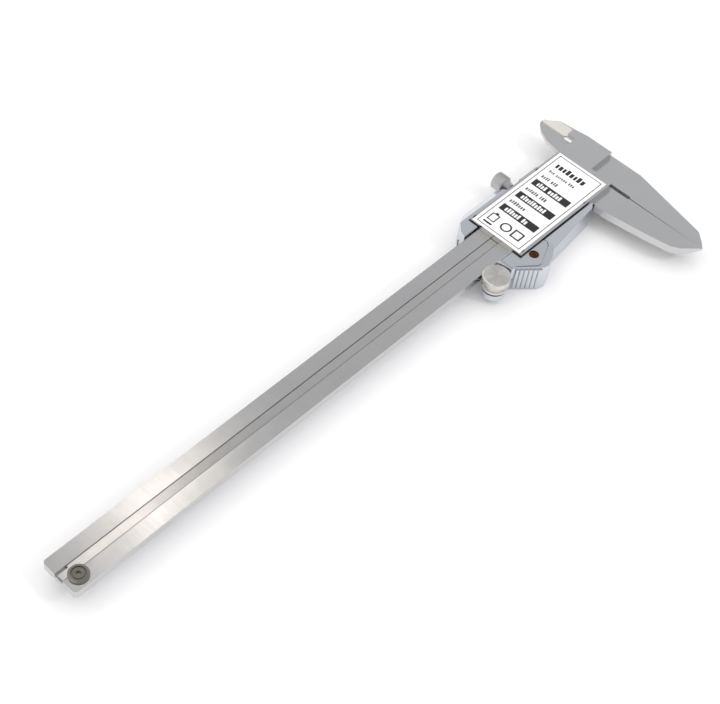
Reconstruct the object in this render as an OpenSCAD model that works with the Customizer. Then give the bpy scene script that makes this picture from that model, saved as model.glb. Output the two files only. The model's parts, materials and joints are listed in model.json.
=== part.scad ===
// Digital caliper, 0-200 mm, closed, lying on its display with its back up.
// X runs along the beam from its free end to the jaws, Y across it towards the
// inside jaws, Z out of the back. The origin is the middle of the free end face.

/* [Beam] */
// Overall length from the free end to the back of the fixed jaw
beam_len = 286; // [280:0.5:292]
// Width of the beam
beam_w = 16; // [15.8:0.1:16.2]
// Thickness of the beam and of the long jaws
beam_t = 3.5; // [3.4:0.1:3.6]
// Width of the depth rod slot
slot_w = 3.8; // [3.6:0.1:4]
// Depth of the depth rod slot
slot_d = 1.5; // [1.4:0.05:1.55]
// Width of the graduated strip
strip_w = 9; // [8:0.5:10]

/* [Jaws] */
// Distance from the free end to the plane where the long jaws meet
zero_x = 272; // [271.8:0.1:272.2]
// Reach of the long jaws beyond the beam edge
jaw_reach = 49.6; // [48:0.2:50]
// Reach of the inside jaws beyond the beam edge
blade_reach = 22; // [21:0.5:22.5]
// Distance of the inside jaws' zero line beyond the long jaws' plane
blade_shift = 7.6; // [7.5:0.1:7.7]

/* [Slider] */
// Left end of the slider plate
plate_x = 213.9; // [213.5:0.1:214.2]
// Thickness of the slider plate over the beam
plate_t = 2.65; // [2.5:0.05:2.8]
// Clearance between the slider and the beam
fit = 0.05; // [0.04:0.01:0.06]

/* [Housing] */
// Plane of the display bezel
front_z = -8.8; // [-9:0.1:-8.7]
// Height of the housing rim at the back
rim_z = 3.2; // [3:0.1:3.3]
// Diameter of the battery cap
cap_d = 23.2; // [23:0.1:23.4]
// Diameter of the three push buttons
button_d = 5.5; // [5:0.1:5.6]
// Number of ridges on the thumb rest
ridges = 6; // [4:1:6]

/* [Hidden] */
$fn = 64;
e = 0.01;

half_w = beam_w / 2;
half_t = beam_t / 2;
plate_z0 = half_t + fit;
plate_z1 = half_t + plate_t;
inside_x = zero_x + blade_shift;
jaw_tip_y = -half_w - jaw_reach;
blade_tip_y = half_w + blade_reach;

// slider frame
plate_x1 = zero_x - 0.8;
plate_lo = -13;
plate_hi = 12.7;
rail_lo = -half_w - fit;
rail_hi = half_w + 0.5;
lip_y = half_w - 1.7;
frame_z0 = -3;
head_x1 = beam_len - 0.9;
head_lo = -2.3;

// thumb roller
roller_x = 199.3;
roller_y = -13.1;
roller_pin_d = 2;
running = 0.05;
arm_y0 = roller_y + 0.6;
arm_y1 = roller_y + 3.4;
arm_z0 = -3.1;
arm_z1 = -2.5;

// front cover
cover_x0 = 205.3;
cover_x1 = 257.5;
wall = 1.3;
channel_y = half_w + 0.4;
cavity_z1 = -3.3;
cavity_z0 = front_z + wall;
panel_z = front_z + 0.4;

// what the housing holds
cap_x = 220;
cap_y = 0;
lcd_x0 = 232.4;
lcd_x1 = 254.8;
lcd_y0 = -2;
lcd_y1 = 8.8;
button_y = -6.6;
button_x = [235, 242.4, 249.8];
button_gap = 0.15;
board_z0 = -4.1;
board_z1 = -3.35;
cell_d = 20;
cell_t = 3.2;
cell_z1 = -4.3;
cell_z0 = cell_z1 - cell_t;

// a prism over an outline between two heights
module slab(points, z0, z1) {
    translate([0, 0, z0]) linear_extrude(z1 - z0) polygon(points);
}

// a box given by two opposite corners
module span(a, b) {
    translate(a) cube(b - a);
}

// a cylinder standing between two heights
module post(x, y, z0, z1, d) {
    translate([x, y, z0]) cylinder(h = z1 - z0, d = d);
}

// an upright box with round corners
module tile(a, b, r) {
    z0 = a[2];
    z1 = b[2];
    span([a[0] + r, a[1], z0], [b[0] - r, b[1], z1]);
    span([a[0], a[1] + r, z0], [b[0], b[1] - r, z1]);
    for (x = [a[0] + r, b[0] - r], y = [a[1] + r, b[1] - r]) post(x, y, z0, z1, 2 * r);
}

// ---------- beam and what is fixed to it ----------

beam_outline = [
    [0, -half_w + 0.9], [0.9, -half_w], [zero_x + 0.9, -half_w], [zero_x + 0.9, -21.4],
    [zero_x, -21.8], [zero_x, jaw_tip_y], [zero_x + 2.6, jaw_tip_y + 2.2], [278.3, -51.4],
    [beam_len, -17], [beam_len, 10.8], [beam_len - 1.7, 12.5], [inside_x - 0.6, 12.5],
    [inside_x - 0.6, 17], [inside_x, 17.6], [inside_x, blade_tip_y], [inside_x - 1.6, 29.2],
    [275.3, 26.2], [272.7, 21], [271.3, 14], [271.3, half_w], [0.9, half_w], [0, half_w - 0.9]
];

screw_x = 5.3;
screw_y = -3.4;

// the long jaws are ground thin from the display side beyond this line
knife_y = -46.4;
knife_angle = 26;

module beam() {
    color("silver") difference() {
        slab(beam_outline, -half_t, half_t);
        // depth rod slot, open at the free end
        span([-1, -slot_w / 2, half_t - slot_d], [265, slot_w / 2, half_t + 1]);
        // seat of the graduated strip on the display side
        span([9, -strip_w / 2, -half_t - 1], [262, strip_w / 2, -half_t + 0.5]);
        post(screw_x, screw_y, -half_t - 1, half_t + 1, 2.5);
        // knife edge of the fixed inside jaw, ground from the display side
        translate([inside_x, 0, half_t - 0.3]) rotate([0, -12, 0])
            span([-10, 13.2, -6], [1, 40, 0]);
        // knife edge at the tip of the fixed long jaw
        translate([zero_x, 0, half_t - 1]) rotate([0, knife_angle, 0])
            span([-1, jaw_tip_y - 1, -8], [9, knife_y, 0]);
    }
}

module scale_strip() {
    color("darkolivegreen") span([9, -strip_w / 2, -half_t - 0.1], [262, strip_w / 2, -half_t + 0.5]);
}

module scale_film() {
    color("whitesmoke") span([9, -strip_w / 2, -half_t - 0.25], [262, strip_w / 2, -half_t - 0.1]);
}

module stop_screw() {
    color("dimgray") difference() {
        union() {
            translate([screw_x, screw_y, half_t]) cylinder(h = 0.5, d = 7.2);
            translate([screw_x, screw_y, half_t + 0.5]) cylinder(h = 0.6, d1 = 7.2, d2 = 5.4);
            post(screw_x, screw_y, -half_t + 0.2, half_t + e, 2.5);
        }
        translate([screw_x, screw_y, half_t + 0.35]) cylinder(h = 1, d = 1.5, $fn = 6);
    }
}

// ---------- slider frame ----------

plate_outline = [
    [plate_x, plate_lo], [plate_x1, plate_lo], [plate_x1, head_lo], [head_x1, head_lo],
    [head_x1, 10], [head_x1 - 0.9, 16], [head_x1 - 1.7, 23.4], [head_x1 - 3.7, 27.1],
    [inside_x + 1, 29.3], [inside_x, blade_tip_y], [inside_x, 17.6], [inside_x + 0.6, 17],
    [inside_x + 0.6, 13.6], [inside_x - 0.4, plate_hi], [plate_x, plate_hi]
];

moving_jaw = [
    [258.4, rail_lo], [plate_x1, rail_lo], [plate_x1, -21.4], [zero_x, -21.8], [zero_x, jaw_tip_y],
    [269, -54.8], [265.4, -51.5], [263.4, -48.2], [261.6, -39], [260.2, -30], [258.9, -21]
];

lock_x = 241.5;
gib_x = [224, 258];

// bore of a housing screw, with its countersink in the plate
head_t = 1.2;
screw_d = 1.6;
head_d = 2.9;

module slider_frame() {
    color("silver") difference() {
        union() {
            slab(plate_outline, plate_z0, plate_z1);
            slab(moving_jaw, -half_t, half_t);
            // side rails that run past both edges of the beam
            span([plate_x, plate_lo, frame_z0], [plate_x1, rail_lo, plate_z0 + e]);
            span([plate_x, rail_hi, frame_z0], [270.6, plate_hi, plate_z0 + e]);
            // lips that close round the display side of the beam
            span([plate_x, rail_lo - e, frame_z0], [plate_x1, -lip_y, -half_t - fit]);
            span([plate_x, lip_y, frame_z0], [270.6, rail_hi + e, -half_t - fit]);
        }
        // knife edge of the moving inside jaw, ground from the back
        translate([inside_x, 17.6, half_t + 0.6]) rotate([0, -29, 0])
            span([-4, -1, 0], [8, 20, 6]);
        // knife edge at the tip of the moving long jaw
        translate([zero_x, 0, half_t - 1]) rotate([0, -knife_angle, 0])
            span([-9, jaw_tip_y - 1, -8], [1, knife_y, 0]);
        // lock screw bore and set screw bores
        translate([lock_x, 0, 0]) rotate([-90, 0, 0]) cylinder(h = 30, d = 3.2);
        for (x = gib_x) translate([x, 0, 0]) rotate([-90, 0, 0]) cylinder(h = 30, d = 2);
        // depth rod screw, and the four countersunk housing screws
        post(262, 0, 0, 6, 2);
        for (p = cover_screw_at) {
            post(p[0], p[1], -5, 6, screw_d);
            translate([p[0], p[1], plate_z1 - head_t]) cylinder(h = head_t, d1 = screw_d, d2 = head_d);
        }
    }
}

module label() {
    color("white") span([plate_x, -11.9, plate_z1], [268.6, 11.7, plate_z1 + 0.15]);
}

module gib_strip() {
    color("goldenrod") span([plate_x + 1.5, half_w + 0.02, -1.5], [269, rail_hi - 0.06, 1.5]);
}

module gib_screws() {
    color("dimgray") for (x = gib_x) translate([x, rail_hi - 0.06, 0]) rotate([-90, 0, 0])
        difference() {
            cylinder(h = 3.6, d = 2);
            translate([-0.2, -1.5, 3]) cube([0.4, 3, 1]);
        }
}

module depth_rod() {
    color("gainsboro") difference() {
        span([0.4, -1.7, half_t - slot_d + 0.1], [264, 1.7, half_t - 0.15]);
        // narrow tip that reaches into corners
        span([0, 0.9, 0], [4.6, 3, 3]);
        post(262, 0, 0, 3, 1.6);
    }
}

module depth_rod_screw() {
    color("dimgray") {
        post(262, 0, half_t - slot_d + 0.1, half_t - 0.15, 1.6);
        post(262, 0, half_t - 0.15, plate_z1 - 0.2, 2);
    }
}

// ---------- locking screw ----------

module along_y(x, y0, y1, d) {
    translate([x, y0, 0]) rotate([-90, 0, 0]) cylinder(h = y1 - y0, d = d);
}

module lock_pad() {
    color("goldenrod") along_y(lock_x, rail_hi + 0.25, rail_hi + 1.6, 3);
}

module lock_screw() {
    color("silver") {
        along_y(lock_x, rail_hi + 1.6, 14.4, 3);
        translate([lock_x, 14.4, 0]) rotate([-90, 0, 0]) cylinder(h = 2.2, d1 = 4, d2 = 5.4);
        along_y(lock_x, 16.6 - e, 17, 6.4);
        along_y(lock_x, 17, 21.6, 7.1);
        translate([lock_x, 21.6 - e, 0]) rotate([-90, 0, 0]) cylinder(h = 0.6, d1 = 7.1, d2 = 5.9);
    }
}

// ---------- thumb roller ----------

// half section of the roller: radius, height
roller_section = [
    [roller_pin_d / 2 + running, -2.2], [4.6, -2.2], [5, -1.9], [5, -0.9], [4.3, -0.7], [4.3, 0.5],
    [5, 0.8], [5, half_t + 0.15], [5.5, half_t + 0.15], [5.5, 3.8], [5.1, 4.2], [0, 4.2], [0, 3.2],
    [roller_pin_d / 2 + running, 3.2]
];

module thumb_roller() {
    color("lightgray") translate([roller_x, roller_y, 0]) rotate_extrude() polygon(roller_section);
}

module roller_pin() {
    color("dimgray") post(roller_x, roller_y, -4.4, 3.1, roller_pin_d);
}

// sprung arm that presses the roller against the edge of the beam
module roller_arm() {
    color("silver") difference() {
        union() {
            post(roller_x, roller_y, arm_z0, arm_z1, 7);
            span([roller_x, arm_y0, arm_z0], [plate_x, arm_y1, arm_z1]);
        }
        post(roller_x, roller_y, -5, 0, roller_pin_d);
    }
}

module roller_washer() {
    color("gray") difference() {
        post(roller_x, roller_y, arm_z1, arm_z1 + 0.25, 5);
        post(roller_x, roller_y, -3, -2, roller_pin_d);
    }
}

// ---------- housing ----------

cover_outline = [
    [cover_x0, -8.4], [cover_x0, 7], [206.8, 11], [210.2, 14.4], [216, 17.3], [235.6, 17.3],
    [237, 15.6], [237, 13.9], [cover_x1 - 1, 13.9], [cover_x1, 12.9], [cover_x1, -14.2],
    [cover_x1 - 1.2, -15], [229.5, -17.6], [222.6, -21.6], [218.6, -23], [216.4, -22.4],
    [208.2, -15.2], [206.4, -14.8]
];

// ridges of the thumb rest run along Z on the slanted side
ridge_a = [208.35, -15.02];
ridge_step = [1.335, -1.175];
ridge_d = 1.85;
ridge_top = rim_z - 0.9;

cover_screw_at = [for (x = [215.9, 254.1], y = [-10.9, 10.9]) [x, y]];
cover_screw_z = -6;
boss_d = 3.2;
rest_screw = [218.8, -15.5];
rest_hole_d = 4;

rest_outline = [
    [206.9, -14.3], [206.9, -8.9], [213.2, -8.9], [213.2, -13.15], [227.6, -13.15],
    [227.9, -14.6], [226.6, -16.4], [217, -20.6], [215.4, -20.4], [208.8, -14.8]
];

module front_cover() {
    color("lightsteelblue") difference() {
        union() {
            slab(cover_outline, front_z, rim_z);
            for (i = [0.5 : ridges - 0.5])
                translate(concat(ridge_a + ridge_step * i, front_z + 0.5))
                    cylinder(h = ridge_top - front_z - 0.5, d = ridge_d);
            // round foot under the thumb roller
            post(roller_x, roller_y, -5.6, arm_z0, 9);
            span([roller_x, roller_y - 2.2, -5.6], [208, roller_y + 4.2, arm_z0]);
        }
        // slope of the left end and of both long sides towards the back rim
        translate([cover_x0 - 0.01, 7.4, -1.9]) rotate([0, -36, 0]) span([-12, 0, 0], [0, 30, 20]);
        translate([0, 17.3, 0.6]) rotate([48, 0, 0]) span([200, 0, -6], [260, 10, 20]);
        translate([0, -17.7, -0.6]) rotate([-46, 0, 0]) span([228, -10, -6], [260, 0, 20]);
        // passage of the beam, pocket of the slider plate and seats of the rails
        span([200, -channel_y, -2.35], [260, channel_y, 10]);
        span([plate_x - 0.45, plate_lo - 0.4, cavity_z1], [260, plate_hi + 0.4, 10]);
        // passage of the roller arm, and room for the roller
        span([roller_x, arm_y0, arm_z0], [plate_x, arm_y1, arm_z1]);
        post(roller_x, roller_y, arm_z0, 10, 12.2);
        post(roller_x, roller_y, -4.4, 0, roller_pin_d);
        // inside of the housing
        difference() {
            span([207.2, -13, cavity_z0], [256.2, 12.5, cavity_z1 + e]);
            // corner bosses of the housing screws
            for (p = cover_screw_at) {
                post(p[0], p[1], -7, 0, boss_d);
                translate([p[0] - boss_d / 2, p[1] > 0 ? p[1] : -14, -7])
                    cube([boss_d, 14 - abs(p[1]), 7]);
            }
        }
        // recessed face, window, battery port and button holes
        tile([206.8, -13.4, front_z - 1], [256.4, 13.2, panel_z], 2);
        tile([lcd_x0, lcd_y0, front_z - 1], [lcd_x1, lcd_y1, cavity_z0 + 1], 0.8);
        post(cap_x, cap_y, front_z - 1, cavity_z0 + 1, cap_d + 0.2);
        for (x = button_x) post(x, button_y, front_z - 1, 0, button_d + 2 * button_gap);
        // lock screw clearance and the seat of the thumb rest plate
        span([237.4, 12, -4], [245.6, 18, 10]);
        slab(rest_outline, rim_z - 0.8, 10);
        post(rest_screw[0], rest_screw[1], -2, 10, screw_d);
        for (p = cover_screw_at) post(p[0], p[1], cover_screw_z, 0, screw_d);
    }
}

module thumb_rest() {
    color("lightsteelblue") difference() {
        slab(rest_outline, rim_z - 0.8, rim_z);
        post(rest_screw[0], rest_screw[1], 0, 10, rest_hole_d);
    }
}

module thumb_rest_screw() {
    color("darkgoldenrod") difference() {
        union() {
            post(rest_screw[0], rest_screw[1], -2, rim_z - 0.7, screw_d);
            post(rest_screw[0], rest_screw[1], rim_z - 0.8, rim_z - 0.55, rest_hole_d - 0.1);
            post(rest_screw[0], rest_screw[1], rim_z - 0.8, rim_z - 0.3, 2.8);
        }
        post(rest_screw[0], rest_screw[1], rim_z - 0.65, 10, 1.3);
    }
}

module cover_screws() {
    color("dimgray") for (p = cover_screw_at) difference() {
        union() {
            post(p[0], p[1], cover_screw_z, plate_z1 - head_t, screw_d);
            translate([p[0], p[1], plate_z1 - head_t]) cylinder(h = head_t, d1 = screw_d, d2 = head_d);
        }
        span([p[0] - 2, p[1] - 0.2, plate_z1 - 0.6], [p[0] + 2, p[1] + 0.2, plate_z1 + 1]);
    }
}

// ring seal between the housing and the slider lips
module cover_gasket() {
    color("black") difference() {
        tile([213.9, -12.8, cavity_z1], [256.6, 12.5, frame_z0], 1);
        span([215.2, -8.6, -5], [255.6, 8.6, 0]);
        for (p = cover_screw_at) post(p[0], p[1], -6, 0, screw_d);
    }
}

module face_panel() {
    color("darkslategray") difference() {
        tile([207, -13.2, panel_z - 0.15], [256.2, 13, panel_z], 1.8);
        tile([lcd_x0, lcd_y0, -10], [lcd_x1, lcd_y1, 0], 0.8);
        post(cap_x, cap_y, -10, 0, cap_d + 0.2);
        for (x = button_x) post(x, button_y, -10, 0, button_d + 2 * button_gap);
    }
}

module display_window() {
    color("lightcyan") tile([lcd_x0, lcd_y0, panel_z - 0.1], [lcd_x1, lcd_y1, panel_z + 0.9], 0.8);
}

module display_module() {
    color("darkseagreen")
        span([lcd_x0 - 0.4, lcd_y0 - 0.2, cavity_z0], [lcd_x1 + 0.6, lcd_y1 + 0.1, cavity_z0 + 1.5]);
}

module display_contacts() {
    color("dimgray") for (y = [lcd_y0 + 0.3, lcd_y1 - 1.7])
        span([lcd_x0 + 1, y, cavity_z0 + 1.5], [lcd_x1 - 1, y + 1.4, board_z0]);
}

module display_holder() {
    color("ivory") difference() {
        span([lcd_x0 - 0.2, lcd_y0 - 0.1, cavity_z0 + 1.5], [lcd_x1 + 0.4, lcd_y1, board_z0]);
        span([lcd_x0 + 0.9, lcd_y0 + 0.2, -10], [lcd_x1 - 0.9, lcd_y1 - 0.2, 0]);
    }
}

module main_board() {
    color("darkgreen") difference() {
        span([207.6, -12.8, board_z0], [255.8, 12.3, board_z1]);
        // corners cut away round the screw bosses
        for (p = cover_screw_at)
            translate([p[0] - 1.8, p[1] > 0 ? p[1] - 1.8 : -20, -6])
                cube([3.6, 21.8 - abs(p[1]), 6]);
    }
}

module sensor_board() {
    color("seagreen") span([plate_x + 2, -lip_y + 0.2, board_z1], [255, lip_y - 0.2, -half_t - 0.4]);
}

module battery_cell() {
    color("silver") {
        post(cap_x, cap_y, cell_z0, cell_z0 + 2.6, cell_d);
        post(cap_x, cap_y, cell_z0 + 2.6 - e, cell_z1, cell_d - 3);
    }
}

module battery_spring() {
    color("gold") span([cap_x - 5, cap_y - 1.5, cell_z1], [cap_x + 5, cap_y + 1.5, board_z0]);
}

module battery_contact() {
    color("gold") difference() {
        span([cap_x + 10, cap_y - 3, cell_z0 + 0.4], [cap_x + 10.8, cap_y + 3, board_z0]);
        post(cap_x, cap_y, -10, 0, cell_d);
    }
}

module battery_cap() {
    color("dimgray") difference() {
        union() {
            post(cap_x, cap_y, panel_z, cavity_z0 - 0.3, cap_d);
            post(cap_x, cap_y, cavity_z0 - 0.3 - e, cell_z0 - 0.05, cap_d - 4);
        }
        // coin slot
        span([cap_x - 7, cap_y - 0.8, panel_z - 1], [cap_x + 7, cap_y + 0.8, panel_z + 0.5]);
    }
}

module battery_cap_seal() {
    color("black") difference() {
        post(cap_x, cap_y, cavity_z0 - 0.3, cavity_z0 - 0.05, cap_d - 0.6);
        post(cap_x, cap_y, -10, 0, cap_d - 3.6);
    }
}

// one push button: cap in its hole and a collar behind the face
module push_button(x) {
    color("slategray") {
        post(x, button_y, panel_z - 0.2, cavity_z0 + 0.1, button_d);
        post(x, button_y, cavity_z0 + 0.05, cavity_z0 + 0.5, button_d + 1.3);
    }
}

module button_power() { push_button(button_x[0]); }
module button_zero() { push_button(button_x[1]); }
module button_unit() { push_button(button_x[2]); }

module button_pad() {
    color("gray") span([231.4, button_y - 3, cavity_z0 + 1.05], [252, button_y + 3, board_z0]);
}

beam();
scale_strip();
scale_film();
stop_screw();
slider_frame();
label();
gib_strip();
gib_screws();
depth_rod();
depth_rod_screw();
lock_pad();
lock_screw();
thumb_roller();
roller_pin();
roller_arm();
roller_washer();
front_cover();
thumb_rest();
thumb_rest_screw();
cover_screws();
cover_gasket();
face_panel();
display_window();
display_module();
display_contacts();
display_holder();
main_board();
sensor_board();
battery_cell();
battery_spring();
battery_contact();
battery_cap();
battery_cap_seal();
button_power();
button_zero();
button_unit();
button_pad();
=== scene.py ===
"""Digital caliper, 0-200 mm, closed and lying on its display.

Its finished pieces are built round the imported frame, and each one rides the body that it moves with.
"""

import json
import logging
import math
import random
from collections.abc import Iterable
from dataclasses import dataclass
from enum import Enum

import bmesh
import bpy
from mathutils import Matrix, Vector

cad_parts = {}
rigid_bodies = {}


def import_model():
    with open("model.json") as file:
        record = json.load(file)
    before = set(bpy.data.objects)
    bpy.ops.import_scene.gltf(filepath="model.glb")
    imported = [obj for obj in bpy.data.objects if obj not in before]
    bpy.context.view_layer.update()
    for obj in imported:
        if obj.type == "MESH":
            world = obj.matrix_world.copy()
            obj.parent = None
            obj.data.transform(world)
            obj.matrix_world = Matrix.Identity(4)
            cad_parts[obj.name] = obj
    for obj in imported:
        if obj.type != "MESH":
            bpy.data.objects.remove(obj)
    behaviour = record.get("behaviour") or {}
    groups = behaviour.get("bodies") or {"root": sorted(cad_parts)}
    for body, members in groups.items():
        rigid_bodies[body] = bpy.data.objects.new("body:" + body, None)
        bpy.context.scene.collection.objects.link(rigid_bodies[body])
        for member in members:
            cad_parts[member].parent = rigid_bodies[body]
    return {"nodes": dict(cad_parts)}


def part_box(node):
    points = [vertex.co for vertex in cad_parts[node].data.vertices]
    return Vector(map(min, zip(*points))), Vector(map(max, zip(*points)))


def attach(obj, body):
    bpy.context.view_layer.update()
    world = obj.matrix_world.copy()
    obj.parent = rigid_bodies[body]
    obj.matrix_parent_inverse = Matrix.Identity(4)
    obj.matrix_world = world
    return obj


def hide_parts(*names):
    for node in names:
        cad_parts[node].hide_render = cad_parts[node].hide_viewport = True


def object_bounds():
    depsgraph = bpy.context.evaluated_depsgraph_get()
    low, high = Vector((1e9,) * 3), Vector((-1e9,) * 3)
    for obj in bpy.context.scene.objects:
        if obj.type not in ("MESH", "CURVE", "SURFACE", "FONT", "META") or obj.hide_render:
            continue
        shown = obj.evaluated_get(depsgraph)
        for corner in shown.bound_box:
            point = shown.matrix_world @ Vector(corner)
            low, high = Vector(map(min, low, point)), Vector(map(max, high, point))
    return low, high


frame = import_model()
CAD_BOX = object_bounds()
MM = 0.001
LOG = logging.getLogger("caliper")


# ---------- nodes, colours and meshes ----------


def linear(code: str) -> tuple[float, float, float, float]:
    """Turns an sRGB colour into linear values.

    Args:
        code: the colour as six hex digits.

    Returns:
        Linear red, green, blue and an alpha of 1.
    """
    parts = [int(code[i : i + 2], 16) / 255 for i in (0, 2, 4)]
    red, green, blue = (c / 12.92 if c <= 0.04045 else ((c + 0.055) / 1.055) ** 2.4 for c in parts)
    return red, green, blue, 1.0


def add(tree: bpy.types.NodeTree, kind: str, inputs: dict | None = None,
        **settings: object) -> bpy.types.Node:
    """Adds a shader node.

    Args:
        tree: the node tree that gets it.
        kind: the node's Blender type.
        inputs: for a socket's name or number, the output that feeds it or its value.
        settings: the node's own properties.

    Returns:
        The new node.
    """
    made = tree.nodes.new(kind)
    for name, value in settings.items():
        setattr(made, name, value)
    for name, value in (inputs or {}).items():
        if isinstance(value, bpy.types.NodeSocket):
            tree.links.new(value, made.inputs[name])
        else:
            made.inputs[name].default_value = value
    return made


class Lay(Enum):
    """How the marks of the last tool lie on a surface. Rings also bring a painted reflection in wedge
    shapes.
    """

    EVEN = "even"
    RINGS = "rings"


@dataclass(frozen=True)
class Finish:
    """A material and how its surface was made.

    The marks are noise stretched to the real size of the tool's traces, and for rings partly a painted
    reflection in wedge shapes. They move the tone, the roughness and the relief together, and a slow cloud
    of a centimetre or two breaks up the reflection.

    Attributes:
        name: the material's name.
        tone: its sRGB colour.
        roughness: the middle of its roughness.
        metallic: 1 for a metal.
        marks: the size of the marks along X, Y and Z in millimetres.
        lay: how the marks lie.
        sectors: for rings, how much of the pattern is painted reflection in wedge shapes, not rings.
        centre: for rings, their centre in millimetres.
        shade: how far the tone moves.
        rough_spread: how far the roughness moves.
        relief_um: the depth of the marks in micrometres.
        cloud: the size of the slow unevenness in millimetres.
        wave_um: its depth in micrometres.
        lean: a slope along X that shifts the reflection, as a ratio.
        alpha: 1 for an opaque finish.
        coat: the weight of a clear coat.
    """

    name: str
    tone: str
    roughness: float
    metallic: float = 0.0
    marks: tuple[float, float, float] = (0.4, 0.4, 0.4)
    lay: Lay = Lay.EVEN
    sectors: float = 0.6
    centre: tuple[float, float, float] = (0.0, 0.0, 0.0)
    shade: float = 0.06
    rough_spread: float = 0.05
    relief_um: float = 2.0
    cloud: float = 18.0
    wave_um: float = 0.0
    lean: float = 0.0
    alpha: float = 1.0
    coat: float = 0.0

    def marks_of(self, tree: bpy.types.NodeTree, place: bpy.types.NodeSocket) -> bpy.types.NodeSocket:
        """Builds the pattern that the last tool left, and for rings a painted reflection in wedge shapes.

        Args:
            tree: the material's nodes.
            place: the object coordinates, in metres.

        Returns:
            The pattern, from 0 to 1.
        """
        if self.lay is Lay.RINGS:
            at = tuple(-c * MM for c in self.centre)
            flat = tuple(0.0 if size > 50 else 1.0 for size in self.marks)
            moved = add(tree, "ShaderNodeVectorMath", {0: place, 1: at}, operation="ADD")
            level = add(tree, "ShaderNodeVectorMath", {0: moved.outputs[0], 1: flat}, operation="MULTIPLY")
            radius = add(tree, "ShaderNodeVectorMath", {0: level.outputs[0]}, operation="LENGTH")
            pitch = min(self.marks) * MM
            steps = add(tree, "ShaderNodeMath", {0: radius.outputs["Value"], 1: 1 / pitch},
                        operation="MULTIPLY")
            rings = add(tree, "ShaderNodeTexNoise", {"W": steps.outputs[0], "Scale": 1.0, "Detail": 1.0},
                        noise_dimensions="1D")
            # The wedge-shaped noise below is painted reflection: the fans of light and shade on a turned
            # face.
            outward = add(tree, "ShaderNodeVectorMath", {0: level.outputs[0]}, operation="NORMALIZE")
            wedges = add(tree, "ShaderNodeTexNoise",
                         {"Vector": outward.outputs[0], "Scale": 1.6, "Detail": 1.0})
            parts = {0: self.sectors, 2: rings.outputs["Fac"], 3: wedges.outputs["Fac"]}
            return add(tree, "ShaderNodeMix", parts, data_type="FLOAT").outputs[0]
        scale = tuple(1 / (size * MM) for size in self.marks)
        stretched = add(tree, "ShaderNodeMapping", {"Vector": place, "Scale": scale})
        noise = add(tree, "ShaderNodeTexNoise",
                    {"Vector": stretched.outputs[0], "Scale": 1.0, "Detail": 2.0, "Roughness": 0.6})
        return noise.outputs["Fac"]

    def material(self) -> bpy.types.Material:
        """Builds the material, or returns the one that already has its name.

        Returns:
            The material.
        """
        if self.name in bpy.data.materials:
            return bpy.data.materials[self.name]
        made = bpy.data.materials.new(self.name)
        made.use_nodes = True
        tree = made.node_tree
        tree.nodes.clear()
        place = add(tree, "ShaderNodeTexCoord").outputs["Object"]
        # For rings, this pattern also carries the painted reflection in wedge shapes.
        marks = self.marks_of(tree, place)
        cloud = add(tree, "ShaderNodeTexNoise",
                    {"Vector": place, "Scale": 1 / (self.cloud * MM), "Detail": 2.0})
        base = linear(self.tone)[:3]
        dark, light = (tuple(min(1.0, c * k) for c in base) + (1.0,)
                       for k in (1 - self.shade, 1 + self.shade))
        both = add(tree, "ShaderNodeMix", {0: 0.5, 2: marks, 3: cloud.outputs["Fac"]}, data_type="FLOAT")
        tone = add(tree, "ShaderNodeMix", {0: both.outputs[0], 6: dark, 7: light}, data_type="RGBA")
        rough = add(tree, "ShaderNodeMapRange", {
            "Value": both.outputs[0], "From Min": 0.25, "From Max": 0.75,
            "To Min": max(0.02, self.roughness - self.rough_spread),
            "To Max": self.roughness + self.rough_spread})
        along = add(tree, "ShaderNodeSeparateXYZ", {0: place})
        slope = add(tree, "ShaderNodeMath", {0: along.outputs[0], 1: self.lean}, operation="MULTIPLY")
        form = add(tree, "ShaderNodeMath",
                   {0: cloud.outputs["Fac"], 1: self.wave_um * 1e-6, 2: slope.outputs[0]},
                   operation="MULTIPLY_ADD")
        wave = add(tree, "ShaderNodeBump", {"Height": form.outputs[0], "Strength": 1.0, "Distance": 1.0})
        bump = add(tree, "ShaderNodeBump", {
            "Height": marks, "Strength": 1.0, "Distance": self.relief_um * 1e-6, "Normal": wave.outputs[0]})
        shader = add(tree, "ShaderNodeBsdfPrincipled", {
            "Base Color": tone.outputs[2], "Metallic": self.metallic, "Roughness": rough.outputs[0],
            "Alpha": self.alpha, "Coat Weight": self.coat, "Normal": bump.outputs[0]})
        add(tree, "ShaderNodeOutputMaterial", {"Surface": shader.outputs[0]})
        return made


def copy_of(node: str) -> bmesh.types.BMesh:
    """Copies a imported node's mesh, merged and with its flat faces whole again.

    Args:
        node: the node's name.

    Returns:
        The copy, in metres.
    """
    bm = bmesh.new()
    bm.from_mesh(frame["nodes"][node].data)
    bmesh.ops.remove_doubles(bm, verts=bm.verts, dist=0.002 * MM)
    bmesh.ops.dissolve_limit(bm, angle_limit=math.radians(0.4), verts=bm.verts, edges=bm.edges)
    return bm


def soften(bm: bmesh.types.BMesh, width: float, segments: int = 2, least: float = 25.0,
           within: tuple[Vector, Vector] | None = None) -> None:
    """Rounds the sharp edges.

    Args:
        bm: the mesh.
        width: the bevel's width in millimetres.
        segments: how many strips the round gets.
        least: the smallest angle between two faces that counts as sharp, in degrees.
        within: two corners of a box, in metres, that both ends of an edge lie in.
    """
    def inside(edge: bmesh.types.BMEdge) -> bool:
        """Tells whether an edge lies in the box, if there is one."""
        return within is None or all(
            within[0][i] <= v.co[i] <= within[1][i] for v in edge.verts for i in range(3))

    sharp = [e for e in bm.edges
             if len(e.link_faces) == 2 and e.calc_face_angle(0) > math.radians(least) and inside(e)]
    bmesh.ops.bevel(bm, geom=sharp, offset=width * MM, offset_type="OFFSET", segments=segments, profile=0.5,
                    affect="EDGES", material=-1, clamp_overlap=True)


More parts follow.
